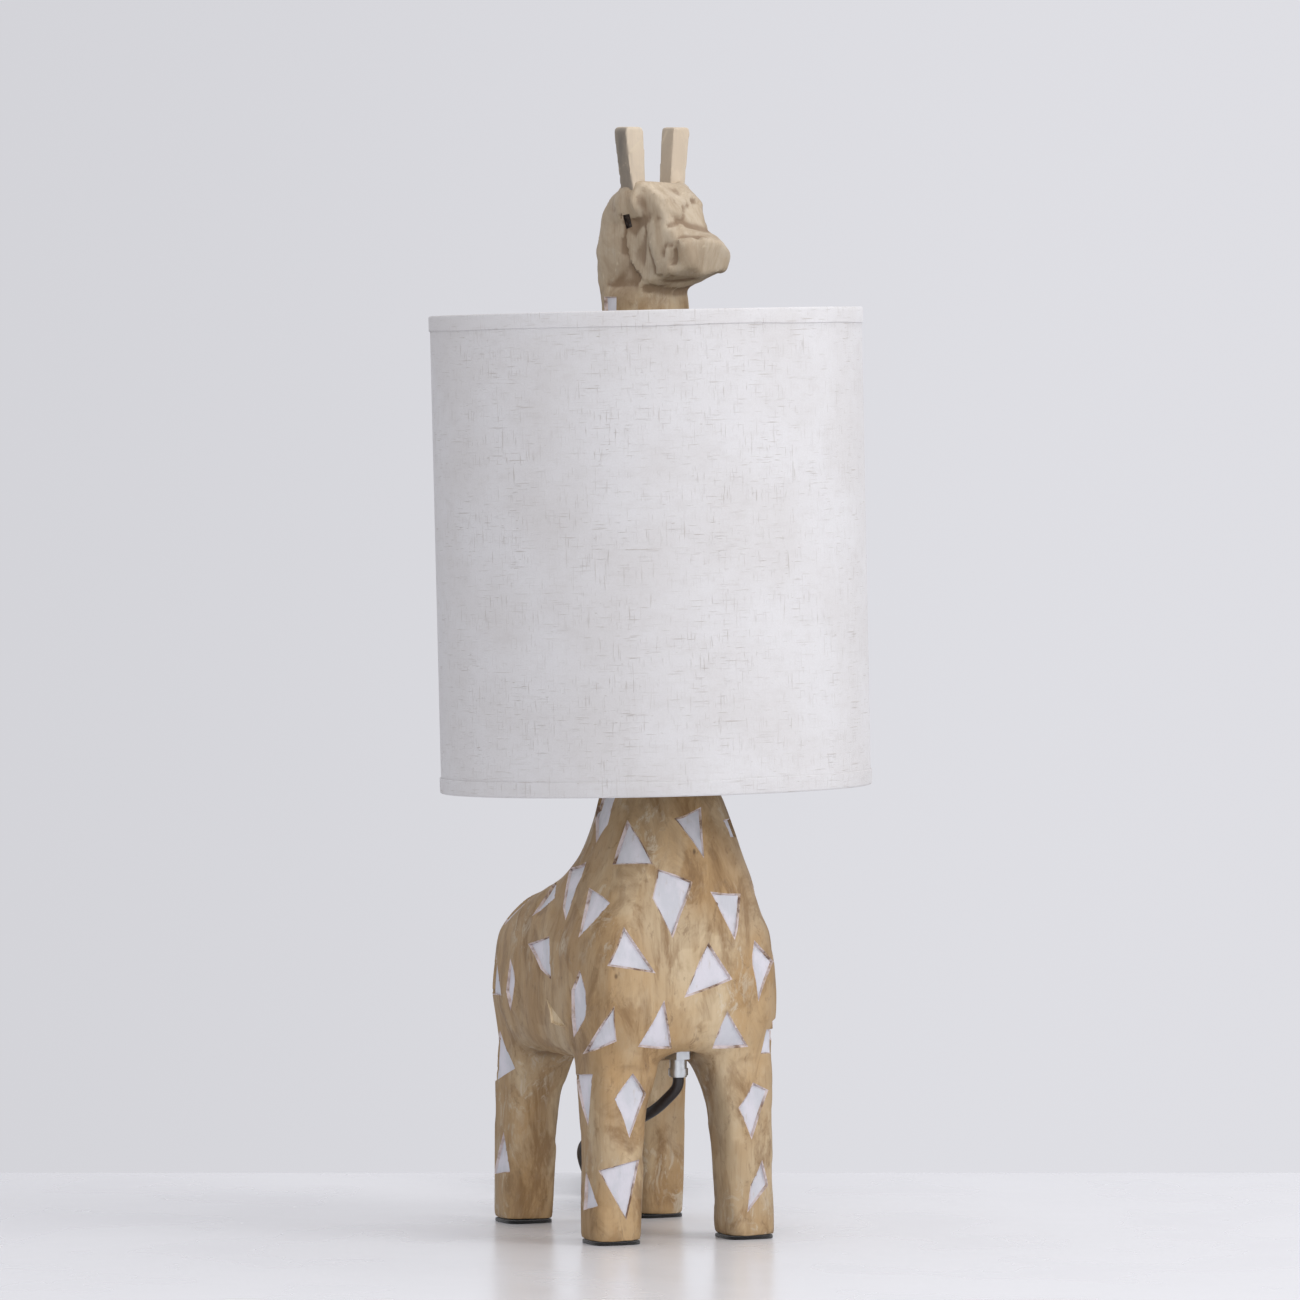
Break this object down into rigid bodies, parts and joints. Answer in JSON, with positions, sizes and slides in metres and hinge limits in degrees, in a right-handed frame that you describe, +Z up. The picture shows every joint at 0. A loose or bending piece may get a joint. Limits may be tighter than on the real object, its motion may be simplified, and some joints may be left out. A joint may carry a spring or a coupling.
{
  "type": "carved giraffe table lamp",
  "caption": "Carved wooden giraffe that stands on four legs and carries a linen drum shade round its neck as a table lamp.",
  "frame": {"origin": "on the floor under the middle of the shade's box", "axes": "+Z up; the giraffe faces -Y, and its left side is +X"},
  "size_m": [0.2645, 0.4519, 0.6415],
  "materials": {
    "carved_wood": "carved softwood with a thin brown wash and white painted spots",
    "horn_wood": "pale carved wood",
    "felt": "black felt",
    "plated_steel": "zinc plated",
    "brass": "turned brass",
    "holder_plastic": "black moulded",
    "ceramic": "glazed ceramic",
    "lead_sheath": "black flexible sheath",
    "tie_plastic": "soft black strap",
    "switch_plastic": "black moulded",
    "rocker_plastic": "black moulded, polished",
    "plug_plastic": "black moulded",
    "pin_brass": "nickel plated pins",
    "solder": "solder",
    "black_glass": "black vitrified insulator",
    "cap_metal": "nickel plated screw cap",
    "bulb_plastic": "white moulded",
    "opal_diffuser": "opal white diffuser",
    "white_wire": "white coated steel wire",
    "linen": "slubby white linen",
    "liner": "white stiff liner",
    "hem_tape": "linen tape"
  },
  "bodies": {
    "lamp": {"carved_body": "carved_wood", "horn_right": "horn_wood", "horn_left": "horn_wood", "pad_front_right": "felt", "pad_front_left": "felt", "pad_rear_right": "felt", "pad_rear_left": "felt", "lamp_tube": "plated_steel", "tube_collar": "plated_steel", "belly_washer": "plated_steel", "belly_nut": "plated_steel", "seat_washer": "plated_steel", "seat_nut": "plated_steel", "tube_coupler": "brass", "offset_arm": "plated_steel", "holder_cap": "holder_plastic", "holder_core": "ceramic", "holder_shell": "holder_plastic", "centre_contact": "brass", "side_contact": "brass", "terminal_screw_1": "brass", "terminal_screw_2": "brass", "inner_lead": "lead_sheath", "cord_tail": "lead_sheath", "cord_to_hank": "lead_sheath", "cord_hank": "lead_sheath", "hank_tie": "tie_plastic", "cord_to_plug": "lead_sheath", "switch_base": "switch_plastic", "switch_lid": "switch_plastic", "rocker_pin": "plated_steel", "plug_body": "plug_plastic", "plug_pin_1": "pin_brass", "plug_pin_2": "pin_brass"},
    "bulb": {"bulb_contact": "solder", "bulb_insulator": "black_glass", "bulb_cap": "cap_metal", "bulb_collar": "bulb_plastic", "bulb_globe": "opal_diffuser"},
    "retaining_ring": {"shade_ring": "holder_plastic"},
    "shade": {"fitter_ring": "white_wire", "fitter_arm_1": "white_wire", "fitter_arm_2": "white_wire", "fitter_arm_3": "white_wire", "fitter_arm_4": "white_wire", "shade_top_wire": "white_wire", "shade_bottom_wire": "white_wire", "shade_linen": "linen", "shade_liner": "liner", "hem_top": "hem_tape", "hem_bottom": "hem_tape"},
    "rocker": {"switch_rocker": "rocker_plastic"}
  },
  "joints": [
    {"name": "bulb_turn", "type": "hinge", "parent": "lamp", "child": "bulb", "pos_m": [0, -0.0715, 0.316], "axis": [-0.014, 0.0236, 0.9996], "continuous": true},
    {"name": "ring_turn", "type": "hinge", "parent": "lamp", "child": "retaining_ring", "pos_m": [0, -0.0715, 0.316], "axis": [-0.014, 0.0236, 0.9996], "continuous": true},
    {"name": "shade_swing", "type": "hinge", "parent": "lamp", "child": "shade", "pos_m": [0, -0.0715, 0.316], "axis": [-0.014, 0.0236, 0.9996], "range_deg": [-5, 5]},
    {"name": "rocker_tip", "type": "hinge", "parent": "lamp", "child": "rocker", "pos_m": [0.04326, 0.15247, 0.011], "axis": [-0.9184, 0.3955, 0], "range_deg": [-16, 0]}
  ]
}
